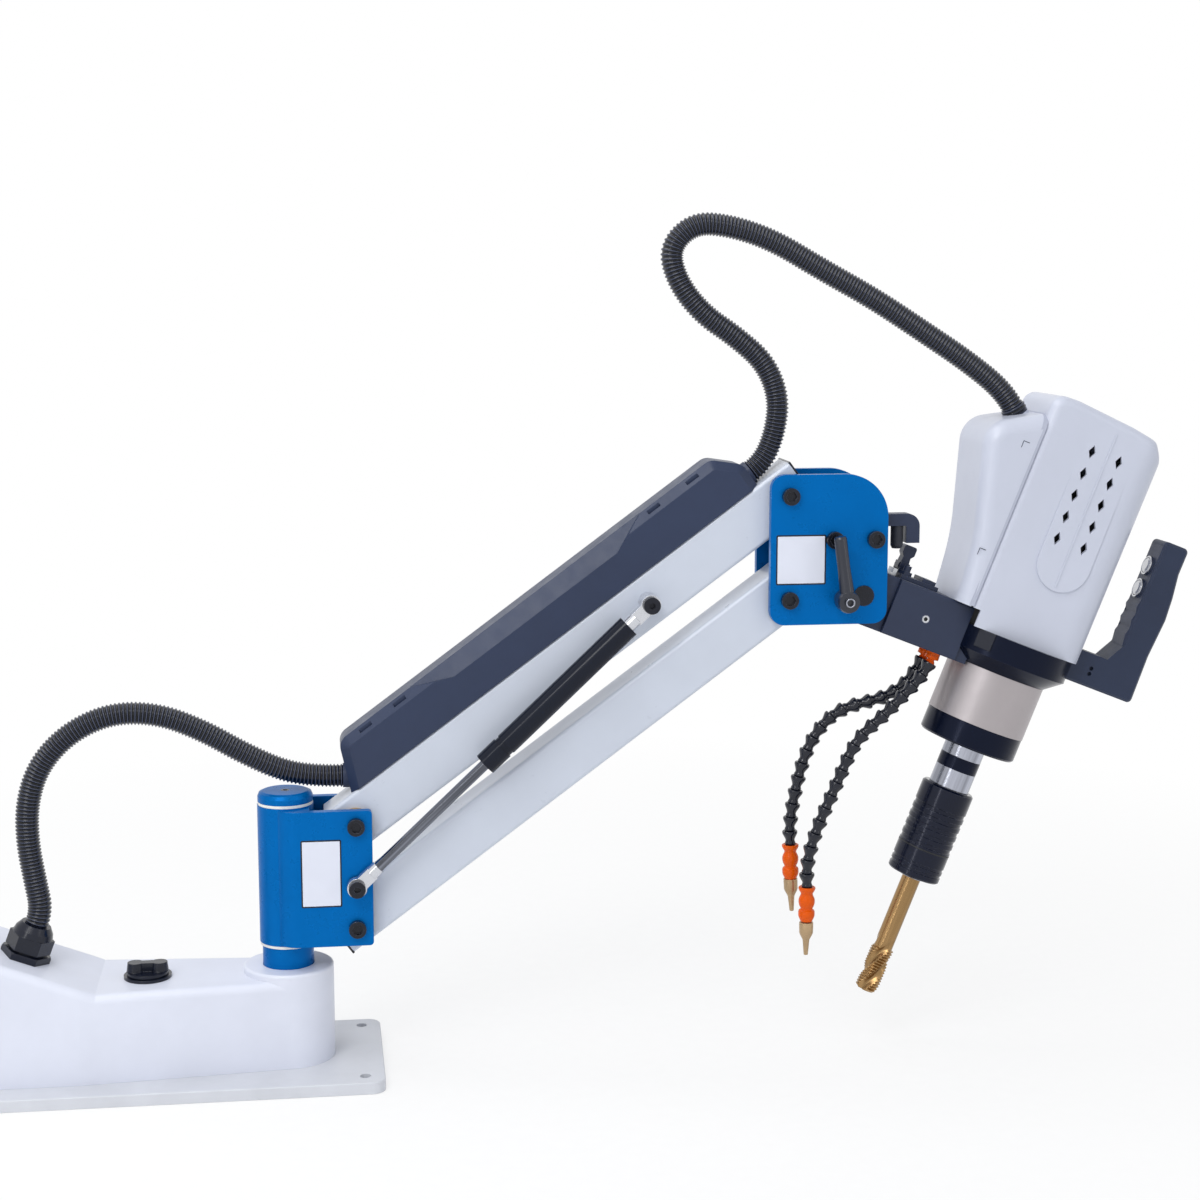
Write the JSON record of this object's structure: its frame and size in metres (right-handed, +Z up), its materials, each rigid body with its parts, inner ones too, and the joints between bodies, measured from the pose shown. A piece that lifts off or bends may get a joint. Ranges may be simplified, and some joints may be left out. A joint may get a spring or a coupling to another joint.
{
  "type": "arm tapping machine",
  "caption": "Bench-mounted tapping machine: servo tapping head on a gas-sprung parallel arm that swivels on a post above a base with its switch and drive.",
  "frame": {"origin": "point where the post's swivel axis meets the underside of the foot plate", "axes": "+Z up along the post, +X out along the arms towards the tapping head, -Y on the side of the gas spring"},
  "size_m": [1.2905, 0.19, 0.8717],
  "materials": {
    "foot_paint": "satin",
    "pale_moulding": "satin",
    "black_nylon": "satin",
    "drive_case": "satin",
    "ground_steel": "ground",
    "black_oxide": "black oxide",
    "cream_nylon": "satin",
    "blue_paint": "gloss",
    "bronze": "machined",
    "arm_paint": "satin",
    "slate_moulding": "satin",
    "boss_paint": "satin",
    "rod_steel": "polished",
    "black_gloss": "gloss",
    "slate_paint": "satin",
    "slate_grip": "satin",
    "grip_insert": "matt",
    "bumper_rubber": "matt",
    "light_metal": "satin",
    "lever_black": "satin",
    "black_anodised": "anodised",
    "champagne": "anodised",
    "gearbox_steel": "machined",
    "motor_case": "satin",
    "lilac_white": "gloss",
    "button_metal": "brushed",
    "valve_orange": "gloss",
    "hose_black": "satin",
    "sleeve_black": "satin",
    "tap_gold": "coated",
    "conduit_black": "satin"
  },
  "bodies": {
    "base": {"base_plate": "foot_paint", "base_housing": "pale_moulding", "cable_gland": "black_nylon", "servo_drive": "drive_case", "mains_inlet": "black_nylon", "switch_flange": "black_nylon", "post": "blue_paint", "base_screws": "black_oxide", "thrust_washers": "cream_nylon", "barrel_cap": "blue_paint", "conduit_lower": "conduit_black"},
    "switch": {"switch_knob": "black_nylon"},
    "swivel_yoke": {"yoke": "blue_paint", "barrel_bushes": "bronze", "yoke_pivot_bolts": "black_oxide", "gas_stud_lower": "black_oxide"},
    "upper_arm": {"upper_arm_beam": "arm_paint", "upper_arm_plugs": "black_nylon", "upper_arm_bushes": "bronze", "arm_cover": "slate_moulding", "gas_stud_upper": "boss_paint", "conduit_upper": "conduit_black"},
    "lower_arm": {"lower_arm_beam": "arm_paint", "lower_arm_plugs": "black_nylon", "lower_arm_bushes": "bronze"},
    "gas_rod": {"gas_spring_rod": "rod_steel"},
    "gas_cylinder": {"gas_spring_cylinder": "black_gloss"},
    "head": {"head_plates": "blue_paint", "head_bolts": "black_oxide", "head_spacers": "boss_paint", "keeper_hook": "slate_paint", "stop_bumper": "bumper_rubber", "tilt_pin": "black_oxide", "clamp_stud": "black_oxide"},
    "clamp": {"clamp_lever": "lever_black"},
    "tilt": {"tilt_block": "slate_paint", "latch_strike": "light_metal"},
    "tapping_head": {"front_block": "slate_paint", "retaining_screws": "light_metal", "collar_ring": "black_anodised", "gear_housing": "champagne", "lower_ring": "black_anodised", "reduction_gearbox": "gearbox_steel", "servo_motor": "motor_case", "hood_front": "lilac_white", "hood_rear": "lilac_white", "handle_body": "slate_grip", "handle_insert": "grip_insert", "latch_base": "slate_paint", "coolant_valves": "valve_orange"},
    "latch": {"latch_lever": "slate_paint"},
    "start": {"start_button": "button_metal"},
    "reverse": {"reverse_button": "button_metal"},
    "spindle": {"spindle_nose": "ground_steel", "nose_band": "black_anodised", "tap": "tap_gold"},
    "sleeve": {"chuck_sleeve": "sleeve_black"},
    "hose_far": {"coolant_hose_a": "hose_black"},
    "hose_near": {"coolant_hose_b": "hose_black"}
  },
  "joints": [
    {"name": "base_swivel", "type": "hinge", "parent": "base", "child": "swivel_yoke", "pos_m": [0, 0, 0.2065], "axis": [0, 0, 1], "range_deg": [-110, 110], "deforming": ["conduit_lower"]},
    {"name": "switch_turn", "type": "hinge", "parent": "base", "child": "switch", "pos_m": [-0.142, -0.007, 0.11], "axis": [0, 0, 1], "range_deg": [-60, 60]},
    {"name": "arm_lift", "type": "hinge", "parent": "swivel_yoke", "child": "upper_arm", "pos_m": [0.0702, 0, 0.2607], "axis": [0, -1, 0], "range_deg": [-28, 15], "deforming": ["conduit_lower"]},
    {"name": "lower_arm_link", "type": "hinge", "parent": "swivel_yoke", "child": "lower_arm", "pos_m": [0.0702, 0, 0.1547], "axis": [0, -1, 0], "range_deg": [-28.5, 15.5]},
    {"name": "gas_rod_pivot", "type": "hinge", "parent": "swivel_yoke", "child": "gas_rod", "pos_m": [0.0702, -0.047, 0.1997], "axis": [0, -1, 0], "range_deg": [-25.98, 14.15]},
    {"name": "gas_cylinder_pivot", "type": "hinge", "parent": "upper_arm", "child": "gas_cylinder", "pos_m": [0.36843, -0.047, 0.48138], "axis": [0, -1, 0], "range_deg": [-1.85, 3.02]},
    {"name": "head_level", "type": "hinge", "parent": "upper_arm", "child": "head", "pos_m": [0.51232, 0, 0.58785], "axis": [0, -1, 0], "range_deg": [-15.5, 28.5], "deforming": ["conduit_upper"]},
    {"name": "head_tilt", "type": "hinge", "parent": "head", "child": "tilt", "pos_m": [0.59032, 0, 0.48485], "axis": [0, -1, 0], "range_deg": [-35, 21.5], "deforming": ["conduit_upper"]},
    {"name": "head_swivel", "type": "hinge", "parent": "tilt", "child": "tapping_head", "pos_m": [0.59032, 0, 0.48485], "axis": [0.9304, 0, -0.3665], "range_deg": [-90, 90], "deforming": ["conduit_upper"]},
    {"name": "clamp_lever_turn", "type": "hinge", "parent": "head", "child": "clamp", "pos_m": [0.56802, -0.055, 0.48245], "axis": [0, -1, 0], "range_deg": [-45, 45]},
    {"name": "latch_swing", "type": "hinge", "parent": "tapping_head", "child": "latch", "pos_m": [0.64368, 0.011, 0.50844], "axis": [0, 1, 0], "range_deg": [0, 20], "stiffness_Nm_per_rad": 0.5, "springref_deg": -22.92},
    {"name": "start_press", "type": "slide", "parent": "tapping_head", "child": "start", "axis": [0.9304, 0, -0.3665], "range_m": [0, 0.003], "stiffness_N_per_m": 800, "springref_m": -0.002},
    {"name": "reverse_press", "type": "slide", "parent": "tapping_head", "child": "reverse", "axis": [0.9304, 0, -0.3665], "range_m": [0, 0.003], "stiffness_N_per_m": 800, "springref_m": -0.002},
    {"name": "spindle_spin", "type": "hinge", "parent": "tapping_head", "child": "spindle", "pos_m": [0.71469, 0, 0.31764], "axis": [0.3665, 0, 0.9304], "continuous": true},
    {"name": "sleeve_pull", "type": "slide", "parent": "spindle", "child": "sleeve", "axis": [-0.3665, 0, -0.9304], "range_m": [0, 0.006], "stiffness_N_per_m": 3000, "springref_m": -0.008},
    {"name": "hose_far_swing", "type": "hinge", "parent": "tapping_head", "child": "hose_far", "pos_m": [0.66872, 0.013, 0.40829], "axis": [0, -1, 0], "range_deg": [-15, 12]},
    {"name": "hose_near_swing", "type": "hinge", "parent": "tapping_head", "child": "hose_near", "pos_m": [0.66872, -0.013, 0.40829], "axis": [0, -1, 0], "range_deg": [-15, 8]}
  ],
  "couplings": [
    {"joint": "lower_arm_link", "follows": "arm_lift", "ratio": 1},
    {"joint": "head_level", "follows": "arm_lift", "ratio": -1},
    {"joint": "gas_rod_pivot", "follows": "arm_lift", "ratio": 0.91},
    {"joint": "gas_cylinder_pivot", "follows": "arm_lift", "ratio": -0.09}
  ]
}
